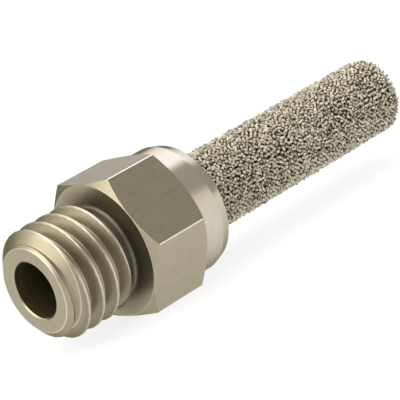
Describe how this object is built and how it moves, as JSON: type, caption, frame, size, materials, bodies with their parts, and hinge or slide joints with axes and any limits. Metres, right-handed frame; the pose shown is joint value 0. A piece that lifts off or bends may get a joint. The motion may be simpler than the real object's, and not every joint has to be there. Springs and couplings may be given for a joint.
{
  "type": "pneumatic muffler",
  "caption": "Small pneumatic exhaust muffler: threaded hollow body with a hexagon and a collar, and a long round sintered metal element with a closed end.",
  "frame": {"origin": "on the axis at the seat, the hexagon's front face that closes on the port", "axes": "+X along the axis from the port towards the sintered element's closed end, +Z square to one of the hexagon's flats"},
  "size_m": [0.0212, 0.007, 0.006],
  "materials": {
    "plated_brass": "nickel plated, turned, satin",
    "sintered_bronze": "sintered, porous, matt, nickel washed"
  },
  "bodies": {
    "root": {"threaded_body": "plated_brass", "sintered_element": "sintered_bronze"}
  },
  "joints": []
}
